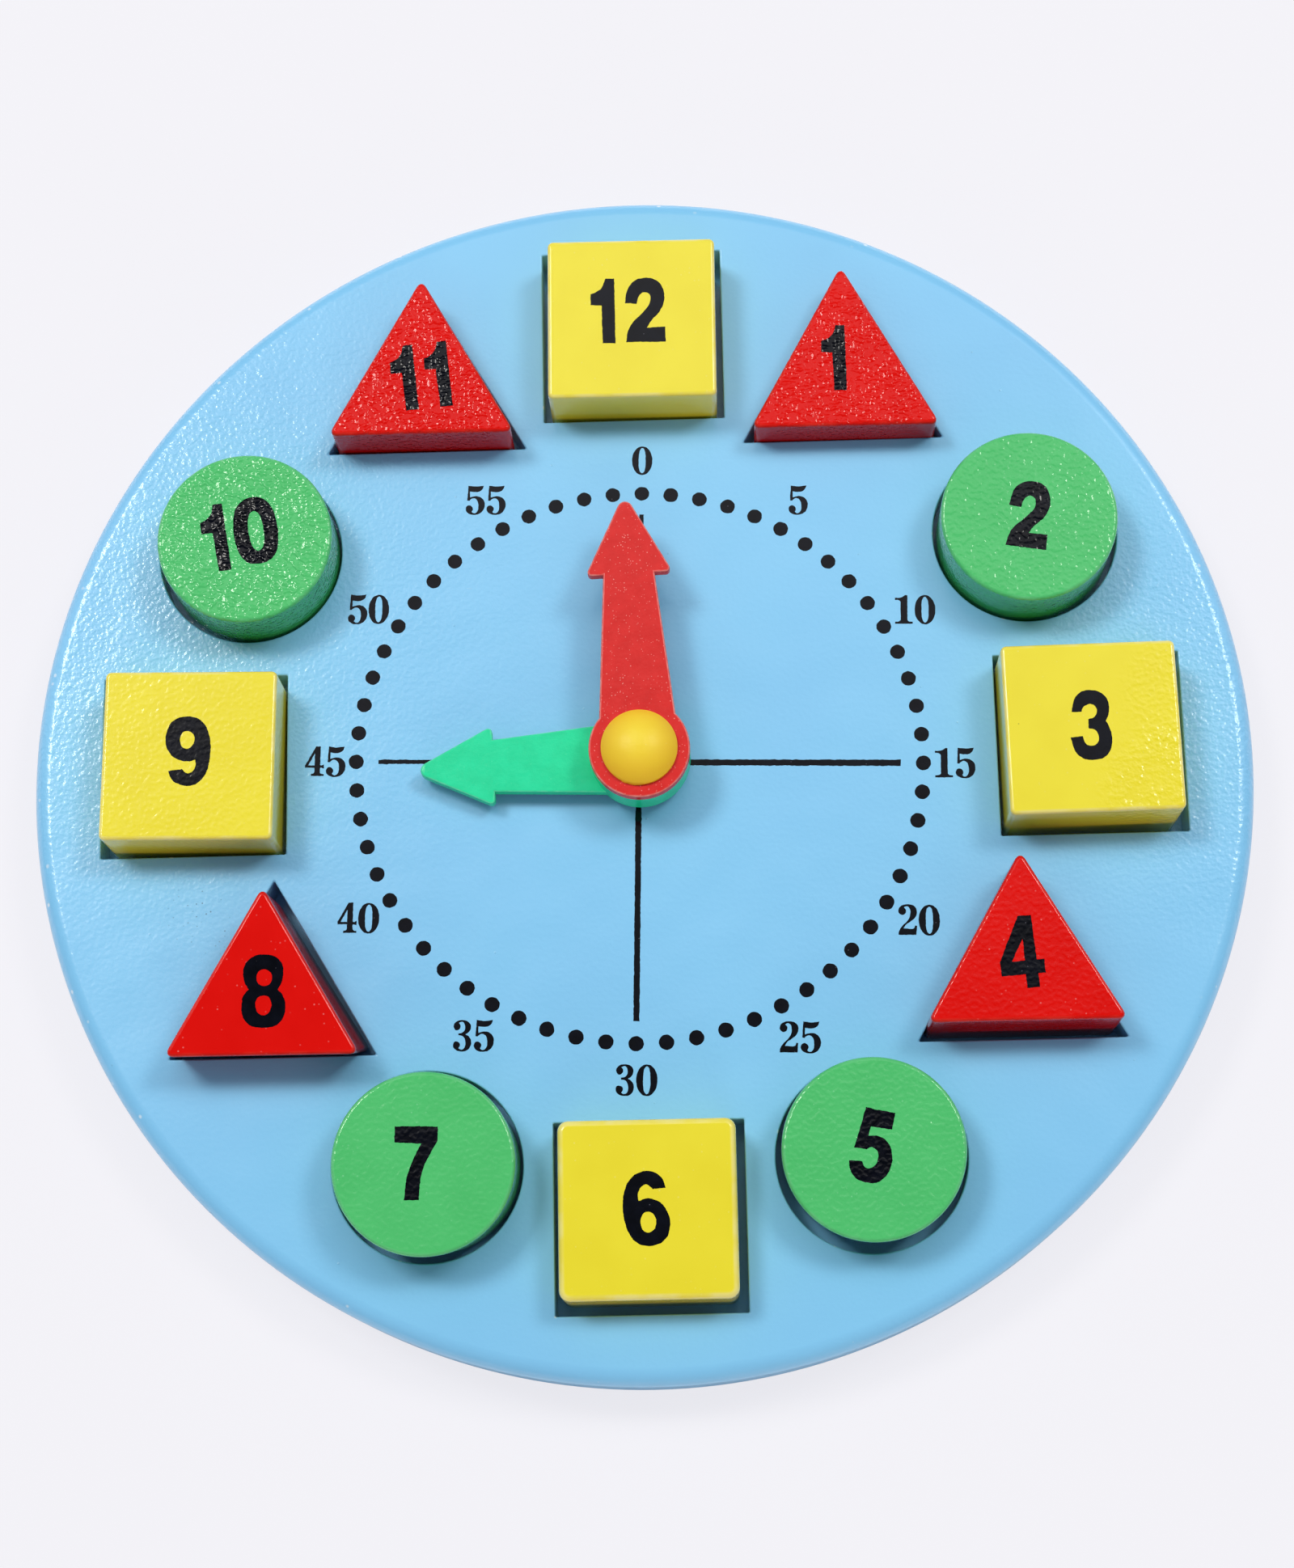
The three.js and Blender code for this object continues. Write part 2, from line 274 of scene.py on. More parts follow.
# The camera: its lens and sensor, its place, and the directions ahead and to its right
CAMERA_LENS, CAMERA_SENSOR = 67.4, 36
CAMERA_PLACE = (13.74, -140.43, 562.06)
CAMERA_AHEAD = (-0.0225, 0.2417, -0.9701)
CAMERA_RIGHT = (0.9994, -0.0202, -0.0283)

# Figures are drawn in units of a hundredth of their height, across from their middle and up from their foot.
# C is a corner and S is a point that the outline runs smoothly through.
C, S = "corner", "smooth"
BOLD_FIGURES = {
    "0": (
        ((S, 0, 100), (S, 15, 96), (S, 26, 83), (S, 31, 60), (S, 31, 38), (S, 26, 15), (S, 15, 3),
         (S, 0, 0), (S, -15, 3), (S, -26, 16), (S, -31, 38), (S, -31, 60), (S, -26, 83), (S, -15, 96)),
        ((S, 0, 79), (S, 6, 76), (S, 10, 66), (S, 11.5, 50), (S, 10.5, 33), (S, 7, 23), (S, 0.5, 19),
         (S, -5, 23), (S, -9, 34), (S, -10.5, 50), (S, -9, 66), (S, -5, 76)),
    ),
    "1": (
        ((C, 2, 100), (C, 15, 100), (C, 17, 0), (C, -1, 0), (C, -3, 58), (C, -19, 59), (C, -19, 76),
         (S, -9, 80), (S, -2, 88)),
    ),
    "2": (
        ((C, -25, 1), (C, 32, 1), (C, 31, 24), (C, 5, 23), (S, 11, 34), (S, 24, 49), (S, 30, 67),
         (S, 27, 85), (S, 17, 97), (S, 2, 100), (S, -13, 96), (S, -23, 83), (C, -27, 61), (C, -10, 60),
         (S, -7, 72), (S, 1, 78), (S, 8, 75), (S, 10, 66), (S, 6, 56), (S, -5, 42), (S, -17, 29),
         (S, -23, 15)),
    ),
    "3": (
        ((C, -26, 68), (C, -12, 69), (S, -9, 76), (S, 0, 80), (S, 7, 77), (S, 9, 69), (S, 5, 61),
         (C, -3, 58), (C, -3, 45), (S, 7, 42), (S, 11, 31), (S, 8, 23), (S, 0, 20), (S, -8, 24),
         (C, -11, 34), (C, -28, 32), (S, -23, 14), (S, -13, 3), (S, 1, 0), (S, 17, 3), (S, 27, 15),
         (S, 29, 31), (S, 27, 45), (C, 21, 56), (S, 25, 65), (S, 26, 77), (S, 22, 90), (S, 12, 98),
         (S, 0, 100), (S, -13, 97), (S, -22, 86)),
    ),
    "4": (
        ((C, 0, 100), (C, 18, 100), (C, 19, 38), (C, 29, 38), (C, 29, 19), (C, 19, 19), (C, 19, 0),
         (C, 2, 0), (C, 2, 19), (C, -31, 19), (C, -31, 39)),
        ((C, 3, 38), (C, -15, 38), (C, 3, 68)),
    ),
    "5": (
        ((C, -17, 99), (C, 23, 99), (C, 23, 76), (C, -6, 75), (C, -7, 62), (S, 3, 64), (S, 16, 61),
         (S, 26, 50), (S, 30, 33), (S, 27, 16), (S, 16, 3), (S, 0, 0), (S, -15, 4), (S, -23, 13),
         (C, -27, 25), (C, -9, 27), (S, -6, 21), (S, 1, 19), (S, 9, 25), (S, 11, 35), (S, 8, 44),
         (S, 0, 48), (C, -6, 44), (C, -23, 43)),
    ),
    "6": (
        ((C, 26, 78), (C, 9, 76), (S, 5, 80), (S, -1, 82), (S, -8, 77), (S, -11, 69), (C, -10, 60),
         (S, -2, 63), (S, 8, 63), (S, 21, 57), (S, 30, 44), (S, 33, 30), (S, 29, 13), (S, 18, 3),
         (S, 3, 0), (S, -11, 4), (S, -22, 16), (S, -28, 32), (S, -31, 50), (S, -29, 74), (S, -19, 92),
         (S, -4, 100), (S, 12, 98), (S, 22, 90)),
        ((S, 3, 46), (S, 11, 42), (S, 14, 31), (S, 11, 22), (S, 3, 18), (S, -4, 22), (S, -7, 32),
         (S, -4, 42)),
    ),
    "7": (
        ((C, -29, 99), (C, 29, 99), (C, 29, 80), (S, 21, 65), (S, 12, 46), (S, 7, 24), (C, 6, 0),
         (C, -14, 0), (S, -11, 29), (S, -3, 54), (C, 7, 76), (C, -29, 77)),
    ),
    "8": (
        ((S, 0, 100), (S, 16, 97), (S, 25, 87), (S, 27, 75), (S, 25, 62), (C, 20, 52), (S, 27, 45),
         (S, 31, 30), (S, 28, 13), (S, 18, 3), (S, 1, 0), (S, -16, 3), (S, -26, 13), (S, -29, 29),
         (S, -27, 43), (C, -20, 52), (S, -26, 62), (S, -28, 75), (S, -25, 88), (S, -15, 97)),
        ((S, 0, 80), (S, 8, 77), (S, 12, 69), (S, 9, 60), (S, 1, 57), (S, -7, 60), (S, -10, 69),
         (S, -7, 77)),
        ((S, 1, 44), (S, 9, 41), (S, 12, 30), (S, 9, 21), (S, 1, 17), (S, -7, 21), (S, -10, 31),
         (S, -7, 41)),
    ),
    "9": (
        ((C, -26, 21), (C, -7, 24), (S, -3, 20), (S, 3, 18), (S, 9, 22), (S, 12, 30), (C, 11, 38),
         (S, 2, 35), (S, -8, 36), (S, -21, 42), (S, -30, 55), (S, -32, 70), (S, -28, 87),
         (S, -18, 97), (S, -2, 100), (S, 14, 96), (S, 25, 83), (S, 31, 62), (S, 31, 38), (S, 26, 17),
         (S, 15, 4), (S, 0, 0), (S, -14, 4), (S, -22, 12)),
        ((S, -2, 79), (S, 5, 76), (S, 8.5, 67), (S, 5, 57), (S, -2, 53), (S, -9, 57), (S, -12, 67),
         (S, -9, 76)),
    ),
}
SERIF_FIGURES = {
    "0": (
        ((S, 0, 102), (S, 16, 97), (S, 30, 78), (S, 35, 50), (S, 30, 22), (S, 16, 3), (S, 0, -2),
         (S, -16, 3), (S, -30, 22), (S, -35, 50), (S, -30, 78), (S, -16, 97)),
        ((S, 0, 96), (S, 7, 90), (S, 11, 74), (S, 12, 50), (S, 11, 26), (S, 7, 10), (S, 0, 4),
         (S, -7, 10), (S, -11, 26), (S, -12, 50), (S, -11, 74), (S, -7, 90)),
    ),
    "1": (
        ((C, -30, 0), (C, 30, 0), (C, 30, 7), (S, 17, 8), (C, 12, 13), (C, 12, 102), (C, 5, 102),
         (S, -7, 94), (S, -18, 92), (C, -30, 92), (C, -30, 85), (S, -17, 84), (C, -11, 78),
         (C, -11, 13), (S, -17, 8), (C, -30, 7)),
    ),
    "2": (
        ((C, -32, 0), (S, -30, 13), (S, -20, 29), (S, -5, 44), (S, 5, 60), (S, 8, 78), (S, 5, 91),
         (S, -2, 97), (S, -9, 96), (C, -13, 93), (S, -7, 86), (S, -7, 76), (S, -13, 69), (S, -22, 68),
         (S, -30, 75), (S, -31, 86), (S, -24, 97), (S, -10, 103), (S, 6, 103), (S, 21, 98),
         (S, 29, 85), (S, 29, 70), (S, 22, 57), (S, 7, 44), (S, -6, 35), (C, -15, 22), (C, 13, 20),
         (S, 20, 23), (C, 23, 32), (C, 30, 31), (C, 27, 0)),
    ),
    "3": (
        ((S, -30, 82), (S, -25, 94), (S, -13, 101), (S, 2, 102), (S, 17, 98), (S, 26, 87),
         (S, 26, 73), (S, 20, 62), (C, 9, 55), (S, 20, 48), (S, 28, 36), (S, 29, 22), (S, 23, 8),
         (S, 10, -1), (S, -6, -2), (S, -20, 2), (S, -29, 11), (S, -31, 21), (S, -26, 30),
         (S, -17, 31), (S, -9, 26), (S, -8, 17), (C, -13, 9), (S, -5, 4), (S, 3, 6), (S, 9, 15),
         (S, 10, 29), (S, 6, 43), (S, -2, 50), (C, -14, 52), (C, -14, 58), (S, -2, 60), (S, 6, 68),
         (S, 8, 80), (S, 5, 91), (S, -2, 97), (C, -13, 93), (S, -8, 86), (S, -8, 76), (S, -15, 69),
         (S, -24, 70)),
    ),
    "4": (
        ((C, 3, 103), (C, 19, 103), (C, 19, 38), (S, 24, 37), (C, 32, 41), (C, 32, 26), (S, 24, 29),
         (C, 19, 29), (C, 19, 13), (S, 23, 8), (C, 32, 7), (C, 32, 0), (C, -12, 0), (C, -12, 7),
         (S, -4, 8), (C, 0, 13), (C, 0, 29), (C, -32, 29), (C, -32, 37)),
        ((C, 0, 37), (C, -22, 37), (C, 0, 79)),
    ),
    "5": (
        ((C, -24, 103), (S, 2, 100), (C, 29, 103), (S, 25, 91), (S, 14, 82), (S, -2, 80), (C, -18, 82),
         (C, -18, 60), (S, -8, 63), (S, 5, 65), (S, 21, 60), (S, 32, 46), (S, 34, 30), (S, 28, 12),
         (S, 16, 1), (S, 0, -3), (S, -16, -1), (S, -28, 7), (S, -32, 18), (S, -28, 28), (S, -19, 31),
         (S, -10, 26), (S, -7, 17), (C, -11, 8), (S, -5, 3), (S, 3, 4), (S, 10, 13), (S, 12, 29),
         (S, 9, 46), (S, 2, 55), (S, -7, 57), (S, -15, 53), (C, -20, 48), (C, -27, 49)),
    ),
}


def linear(hex_colour):
    """An sRGB hex colour as the linear values that Blender's sockets take."""
    parts = [int(hex_colour[i : i + 2], 16) / 255 for i in (0, 2, 4)]
    return (*[c / 12.92 if c <= 0.04045 else ((c + 0.055) / 1.055) ** 2.4 for c in parts], 1)


def only(piece):
    bpy.ops.object.select_all(action="DESELECT")
    piece.select_set(True)
    bpy.context.view_layer.objects.active = piece


def place_in_mesh(piece):
    only(piece)
    bpy.ops.object.transform_apply(location=True, rotation=True, scale=True)


def pick(piece, kind, test):
    """Opens the piece in edit mode with only the edges or faces selected that pass the test."""
    only(piece)
    bpy.ops.object.mode_set(mode="EDIT")
    bpy.ops.mesh.select_mode(type=kind)
    bpy.ops.mesh.select_all(action="DESELECT")
    shape = bmesh.from_edit_mesh(piece.data)
    for part in shape.edges if kind == "EDGE" else shape.faces:
        if test(part):
            part.select_set(True)
    bmesh.update_edit_mesh(piece.data)


def done():
    bpy.ops.object.mode_set(mode="OBJECT")


def extrude_up(height):
    bpy.ops.mesh.extrude_region_move(TRANSFORM_OT_translate={"value": (0, 0, mm(height))})


def lies_at(height):
    """The test for edges and faces that lie level at a height."""
    return lambda part: all(abs(v.co.z - mm(height)) < mm(0.01) for v in part.verts)


def is_upright(edge):
    return abs(edge.verts[0].co.z - edge.verts[1].co.z) > mm(0.1)


def bevel_edges(piece, test, width, steps):
    pick(piece, "EDGE", test)
    bpy.ops.mesh.bevel(offset=mm(width), segments=steps, affect="EDGES", clamp_overlap=False)
    done()


def tidy_skin(piece):
    """Merges what coincides, and turns the faces outwards."""
    only(piece)
    bpy.ops.object.mode_set(mode="EDIT")
    bpy.ops.mesh.select_all(action="SELECT")
    bpy.ops.mesh.remove_doubles(threshold=mm(0.002))
    bpy.ops.mesh.normals_make_consistent(inside=False)
    done()


def smooth(piece):
    """Rounds the shading across soft edges, while wide flat faces stay flat."""
    only(piece)
    bpy.ops.object.shade_smooth_by_angle(angle=math.radians(SHADING_ANGLE))
    weights = piece.modifiers.new("flat_faces", "WEIGHTED_NORMAL")
    weights.keep_sharp = True
    bpy.ops.object.modifier_apply(modifier=weights.name)


def join(pieces):
    bpy.ops.object.select_all(action="DESELECT")
    for piece in pieces:
        piece.select_set(True)
    bpy.context.view_layer.objects.active = pieces[0]
    bpy.ops.object.join()
    return bpy.context.view_layer.objects.active


def cut_away(piece, tool):
    only(piece)
    change = piece.modifiers.new("cut", "BOOLEAN")
    change.operation = "DIFFERENCE"
    change.solver = "EXACT"
    change.object = tool
    bpy.ops.object.modifier_apply(modifier=change.name)
    bpy.data.objects.remove(tool)


def cylinder(name, radius, low, high, steps, turn=0):
    bpy.ops.object.select_all(action="DESELECT")
    bpy.ops.mesh.primitive_cylinder_add(
        vertices=steps,
        radius=mm(radius),
        depth=mm(high - low),
        location=(0, 0, mm((low + high) / 2)),
        rotation=(0, 0, math.radians(turn)),
    )
    piece = bpy.context.object
    piece.name = name
    place_in_mesh(piece)
    return piece


def prism(name, form, size, low, high, corner_round):
    """A round, square or three-sided bar standing on end, its upright corners rounded."""
    if form == "round":
        return cylinder(name, size / 2, low, high, BLOCK_STEPS)
    sides = {"square": 4, "triangle": 3}[form]
    half_corner = math.pi / 2 - math.pi / sides
    radius = size / (2 * math.sin(math.pi / sides))
    piece = cylinder(name, radius, low, high, sides, 45 if form == "square" else 0)
    bevel_edges(piece, is_upright, corner_round / math.tan(half_corner), 5)
    return piece


def half_width(form, size):
    return size / (2 * math.sqrt(3)) if form == "triangle" else size / 2


def seat_tool(form, size, x, y):
    """The cutter for a seat, flared at the dial's face, which leaves the lip softly rounded."""
    lip_foot = DIAL_FACE - SEAT_LIP_ROUND
    tool = prism("seat_tool", form, size, SEAT_FLOOR - CUT_PAST, lip_foot, SEAT_CORNER)
    half = half_width(form, size)
    pick(tool, "FACE", lies_at(lip_foot))
    height, reach = lip_foot, half
    for angle in (30, 60, 90):
        turn = math.radians(angle)
        new_height = lip_foot + SEAT_LIP_ROUND * math.sin(turn)
        new_reach = half + SEAT_LIP_ROUND * (1 - math.cos(turn))
        extrude_up(new_height - height)
        bpy.ops.transform.resize(value=(new_reach / reach, new_reach / reach, 1), center_override=(0, 0, 0))
        height, reach = new_height, new_reach
    extrude_up(CUT_PAST)
    done()
    tool.location = (mm(x), mm(y), 0)
    place_in_mesh(tool)
    return tool


def seat_place(hour):
    across, up = SEAT_SHARES[hour]
    return across * SEAT_RING, up * SEAT_RING


def dial_board():
    board = cylinder("dial_board", BOARD_RADIUS, SEAT_FLOOR, DIAL_FACE, BOARD_STEPS)
    bevel_edges(board, lies_at(DIAL_FACE), RIM_ROUND, 8)
    bevel_edges(board, lies_at(SEAT_FLOOR), SEAM_BEVEL, 2)
    sizes = {"square": SQUARE_SEAT, "round": ROUND_SEAT, "triangle": TRIANGLE_SEAT}
    bore = (SEAT_FLOOR - CUT_PAST, DIAL_FACE + CUT_PAST)
    tools = [cylinder("bore_tool", BORE_RADIUS, *bore, BORE_STEPS)]
    for hour, (form, *_) in BLOCKS.items():
        tools.append(seat_tool(form, sizes[form], *seat_place(hour)))
    cut_away(board, join(tools))
    smooth(board)
    return board


def back_board():
    board = cylinder("back_board", BOARD_RADIUS, 0, SEAT_FLOOR, BOARD_STEPS)
    bevel_edges(board, lies_at(0), HEEL_ROUND, 4)
    bevel_edges(board, lies_at(SEAT_FLOOR), SEAM_BEVEL, 2)
    cut_away(board, cylinder("recess_tool", RECESS_RADIUS, -CUT_PAST, RECESS_DEPTH, BORE_STEPS))
    cut_away(board, cylinder("bore_tool", BORE_RADIUS, -CUT_PAST, SEAT_FLOOR + CUT_PAST, BORE_STEPS))
    smooth(board)
    return board


def trait(hour, name, usual):
    return TRAITS.get(hour, {}).get(name, usual)


def block_top(hour):
    return BLOCK_TOP - trait(hour, "drop", 0)


def block_size(hour):
    usual = {"square": SQUARE_SIDE, "round": ROUND_DIAMETER, "triangle": TRIANGLE_SIDE}
    return usual[BLOCKS[hour][0]] + trait(hour, "wide", 0)


def leaned(piece, hour):
    """Leans what belongs to a block forward over the foot of its front wall."""
    form, off_x, off_y, _ = BLOCKS[hour]
    x, y = seat_place(hour)
    front = y + off_y - half_width(form, block_size(hour))
    foot = Vector((mm(x + off_x), mm(front), mm(SEAT_FLOOR)))
    turn = Matrix.Rotation(math.radians(trait(hour, "lean", 0)), 4, "X")
    piece.data.transform(Matrix.Translation(foot) @ turn @ Matrix.Translation(-foot))
    return piece


def mark_worn_and_highlit(piece):
    """Marks the rounded edges, where handling thins the paint and where a pale edge highlight is painted, for
    the material to read. They are the corners that only narrow faces share."""
    worn_and_highlit = piece.data.attributes.new("worn_and_highlit", "FLOAT", "POINT")
    inside = [True] * len(piece.data.vertices)
    for face in piece.data.polygons:
        corners = [piece.data.vertices[i].co for i in face.vertices]
        longest = max((a - b).length for a, b in zip(corners, corners[1:] + corners[:1]))
        if face.area > longest * mm(WORN_AND_HIGHLIT_BAND):
            for i in face.vertices:
                inside[i] = False
    worn_and_highlit.data.foreach_set("value", [float(mark) for mark in inside])


def numbered_block(hour):
    """A block sawn from one stock and sanded by hand, with the traits that set it apart."""
    form, off_x, off_y, turn = BLOCKS[hour]
    size = block_size(hour)
    top = block_top(hour)
    corner = trait(hour, "corner", BLOCK_CORNER)
    block = prism(f"painted_{form}_{hour}", form, size, SEAT_FLOOR, top, corner)
    bevel_edges(block, lies_at(top), trait(hour, "edge", BLOCK_EDGE), 4)
    bevel_edges(block, lies_at(SEAT_FLOOR), BLOCK_EDGE, 3)
    pick(block, "FACE", lambda face: True)
    foot = (0, -mm(half_width(form, size)), 0)
    bpy.ops.transform.resize(value=(1, trait(hour, "stretch", 1), 1), center_override=foot)
    done()
    pick(block, "FACE", lambda face: all(v.co.z < mm(SEAT_FLOOR + 1) for v in face.verts))
    narrowed = 1 - trait(hour, "undercut", 0) / size
    bpy.ops.transform.resize(value=(1, narrowed, 1), center_override=(0, mm(size / 2), 0))
    done()
    mark_worn_and_highlit(block)
    x, y = seat_place(hour)
    block.location = (mm(x + off_x), mm(y + off_y), 0)
    block.rotation_euler.z = math.radians(turn)
    place_in_mesh(block)
    leaned(block, hour)
    smooth(block)
    return block


def drawn(points):
    """The dense outline through a figure's corner and smooth points, in steps of some 2.5 units."""
    count = len(points)
    spots = [Vector((x, y)) for _, x, y in points]

    def handle(i, other):
        reach = (spots[other] - spots[i]).length / 3
        if points[i][0] == C:
            return spots[i] + (spots[other] - spots[i]).normalized() * reach
        along = (spots[(i + 1) % count] - spots[i - 1]).normalized()
        ahead = (spots[other] - spots[i]).dot(along) > 0
        return spots[i] + along * (reach if ahead else -reach)

    outline = []
    for i in range(count):
        j = (i + 1) % count
        steps = max(2, round((spots[j] - spots[i]).length / 2.5))
        outline += interpolate_bezier(spots[i], handle(i, j), handle(j, i), spots[j], steps + 1)[:-1]
    return outline


def figure(shapes, x, y, height, turn, ragged):
    """One figure's outlines in millimetres, its middle at x, y. The ink crept a little at its edge."""
    outlines = [drawn(points) for points in shapes]
    across = [p.x for p in outlines[0]]
    middle = Vector(((min(across) + max(across)) / 2, 50))
    turned = Matrix.Rotation(math.radians(turn), 2)
    placed = []
    for outline in outlines:
        line = [turned @ ((p - middle) * height / 100) + Vector((x, y)) for p in outline]
        placed.append([crept(p, ragged) for p in line])
    return placed


def crept(point, ragged):
    """Moves a point of an ink outline by a fine, repeatable unevenness."""
    fine = noise.noise_vector(Vector((point.x * 1.9, point.y * 1.9, 3.7)))
    coarse = noise.noise_vector(Vector((point.x * 0.7, point.y * 0.7, 8.1)))
    return point + (fine.xy + coarse.xy * 0.6) * ragged


def flat_shape(name, outlines, low, high, edge_round=0):
    """A plate between two heights from closed outlines in millimetres. One inside another is a hole."""
    curve = bpy.data.curves.new(name, "CURVE")
    curve.dimensions = "2D"
    curve.fill_mode = "BOTH"
    curve.extrude = mm((high - low) / 2 - edge_round)
    curve.bevel_depth = mm(edge_round)
    curve.bevel_resolution = 2
    curve.offset = -mm(edge_round)
    for outline in outlines:
        line = curve.splines.new("POLY")
        line.points.add(len(outline) - 1)
        for spot, point in zip(line.points, outline):
            spot.co = (mm(point.x), mm(point.y), 0, 1)
        line.use_cyclic_u = True
    piece = bpy.data.objects.new(name, curve)
    bpy.context.scene.collection.objects.link(piece)
    only(piece)
    bpy.ops.object.convert(target="MESH")
    piece = bpy.context.object
    piece.location.z = mm((low + high) / 2)
    place_in_mesh(piece)
    tidy_skin(piece)
    return piece


def block_numeral(hour):
    figures, turn = BLOCK_NUMERALS[hour]
    x, y = seat_place(hour)
    _, off_x, off_y, _ = BLOCKS[hour]
    outlines = []
    for sign, dx, dy in figures:
        place = (x + off_x + dx, y + off_y + dy)
        outlines += figure(BOLD_FIGURES[sign], *place, BLOCK_NUMERAL_HEIGHT, turn, BLOCK_CREEP)
    top = block_top(hour)
    return leaned(flat_shape(f"numeral_{hour}", outlines, top - PRINT_DEPTH, top + PRINT_DEPTH), hour)


def on_print(outline):
    """Moves an outline that is drawn square to the dial print to where the print lies."""
    turned = Matrix.Rotation(math.radians(PRINT_TURN), 2)
    return [turned @ p + Vector(PRINT_SHIFT) for p in outline]


def circle(x, y, radius, steps):
    angles = [2 * math.pi * i / steps for i in range(steps)]
    return [Vector((x + radius * math.cos(a), y + radius * math.sin(a))) for a in angles]


def printed(name, outlines):
    placed = [on_print(outline) for outline in outlines]
    return flat_shape(name, placed, DIAL_FACE - PRINT_DEPTH, DIAL_FACE + PRINT_DEPTH)


def minute_dots():
    dots = []
    for minute in range(60):
        angle = math.radians(6 * minute)
        dot = circle(DOT_RING * math.sin(angle), DOT_RING * math.cos(angle), DOT_RADIUS, 36)
        dots.append([crept(p, DOT_CREEP) for p in dot])
    return printed("minute_dots", dots)


def cross_lines():
    """Four lines from the pin outwards, each divided finely enough for its creeping edges."""
    steps = 130
    along = [LINE_START + (LINE_REACH - LINE_START) * i / steps for i in range(steps + 1)]
    lines = []
    for direction, width in LINE_WIDTHS.items():
        turned = Matrix.Rotation(math.radians(direction), 2)
        out = [Vector((t, width / 2)) for t in along]
        back = [Vector((t, -width / 2)) for t in reversed(along)]
        lines.append([crept(turned @ p, LINE_CREEP) for p in out + back])
    return printed("cross_lines", lines)


def minute_numerals():
    outlines = []
    for place in range(12):
        signs = str(5 * place)
        angle = math.radians(30 * place)
        ring = NUMERAL_RING - NUMERAL_TUCK.get(place, 0)
        x, y = ring * math.sin(angle), ring * math.cos(angle)
        step = FIGURE_PITCH * NUMERAL_HEIGHT
        for i, sign in enumerate(signs):
            across = x + (i - (len(signs) - 1) / 2) * step
            outlines += figure(SERIF_FIGURES[sign], across, y, NUMERAL_HEIGHT, 0, NUMERAL_CREEP)
    return printed("minute_numerals", outlines)


def rounded(before, corner, after, radius):
    """The arc that rounds a corner between its two neighbours."""
    steps = 6
    back, on = (before - corner).normalized(), (after - corner).normalized()
    half = back.angle(on) / 2
    middle = (back + on).normalized()
    centre = corner + middle * radius / math.sin(half)
    away = math.atan2(-middle.y, -middle.x)
    sweep = math.pi / 2 - half
    angles = [away - sweep + 2 * sweep * i / steps for i in range(steps + 1)]
    return [centre + Vector((math.cos(a), math.sin(a))) * radius for a in angles]


def hand(name, sizes):
    """A moulded arrow with the rings round its axis, turned to the time that it shows."""
    root = math.acos(sizes["root"] / HUB_RADIUS)
    steps = 72
    sweep = math.pi + 2 * root
    hub = [math.pi - root + sweep * i / steps for i in range(steps + 1)]
    right = Vector((sizes["head"], sizes["start"]))
    left = Vector((-sizes["head"], sizes["start"]))
    point = Vector((0, sizes["point"]))
    outline = [Vector((math.cos(a), math.sin(a))) * HUB_RADIUS for a in hub]
    outline += [Vector((sizes["end"], sizes["start"]))]
    outline += rounded(left, right, point, BARB_ROUND)
    outline += rounded(right, point, left, TIP_ROUND)
    outline += rounded(point, left, right, BARB_ROUND)
    outline += [Vector((-sizes["end"], sizes["start"]))]
    low = sizes["low"]
    bore = circle(0, 0, BORE_RADIUS, 48)
    parts = [flat_shape(name, [outline, bore], low, low + HAND_THICKNESS, HAND_EDGE)]
    for radius, foot, top in sizes["rings"]:
        ring = circle(0, 0, radius, RING_STEPS)
        parts.append(flat_shape(f"{name}_ring", [ring, bore], foot, top))
    arrow = join(parts) if len(parts) > 1 else parts[0]
    arrow.rotation_euler.z = math.radians(sizes["turn"])
    arrow.location.y = mm(sizes["sag"])
    place_in_mesh(arrow)
    smooth(arrow)
    return arrow


def capped_pin():
    """The domed cap with a torn line of mould flash at its foot, and the riveted stem below it."""
    sphere = (CAP_RADIUS**2 + CAP_DOME**2) / (2 * CAP_DOME)
    bpy.ops.object.select_all(action="DESELECT")
    bpy.ops.mesh.primitive_uv_sphere_add(segments=RING_STEPS, ring_count=72, radius=mm(sphere))
    cap = bpy.context.object
    cap.name = "cap_and_stem"
    only(cap)
    bpy.ops.object.mode_set(mode="EDIT")
    bpy.ops.mesh.select_all(action="SELECT")
    bpy.ops.mesh.bisect(plane_co=(0, 0, mm(sphere - CAP_DOME)), plane_no=(0, 0, 1), clear_inner=True)
    bpy.ops.mesh.select_all(action="SELECT")
    bpy.ops.transform.translate(value=(0, 0, mm(CAP_CROWN - sphere)))
    done()
    pick(cap, "EDGE", lambda edge: edge.is_boundary)
    for drop in (CAP_SKIRT - FLASH_HEIGHT, FLASH_HEIGHT):
        extrude_up(-drop)
    bpy.ops.mesh.edge_face_add()
    done()
    for corner in cap.data.vertices:
        if corner.co.z < mm(CAP_BASE + FLASH_HEIGHT + 0.1):
            angle = math.degrees(math.atan2(corner.co.y, corner.co.x))
            near = max(0, 1 - abs(angle - FLASH_MIDDLE) / FLASH_SPREAD)
            torn = near * (0.4 + 1.2 * noise.noise(corner.co * 1300))
            corner.co.xy *= 1 + max(0, torn) * FLASH_REACH
    stem = cylinder("stem", STEM_RADIUS, RIVET_HIGH, CAP_BASE, 48)
    rivet = cylinder("rivet", RIVET_RADIUS, RIVET_LOW, RIVET_HIGH, 48)
    bevel_edges(rivet, lies_at(RIVET_LOW), RIVET_ROUND, 4)
    pin = join([cap, stem, rivet])
    smooth(pin)
    return pin


def washer():
    ring = [circle(0, 0, WASHER_RADIUS, RING_STEPS), circle(0, 0, BORE_RADIUS, BORE_STEPS)]
    piece = flat_shape("steel_washer", ring, WASHER_LOW, WASHER_HIGH, WASHER_EDGE)
    smooth(piece)
    return piece


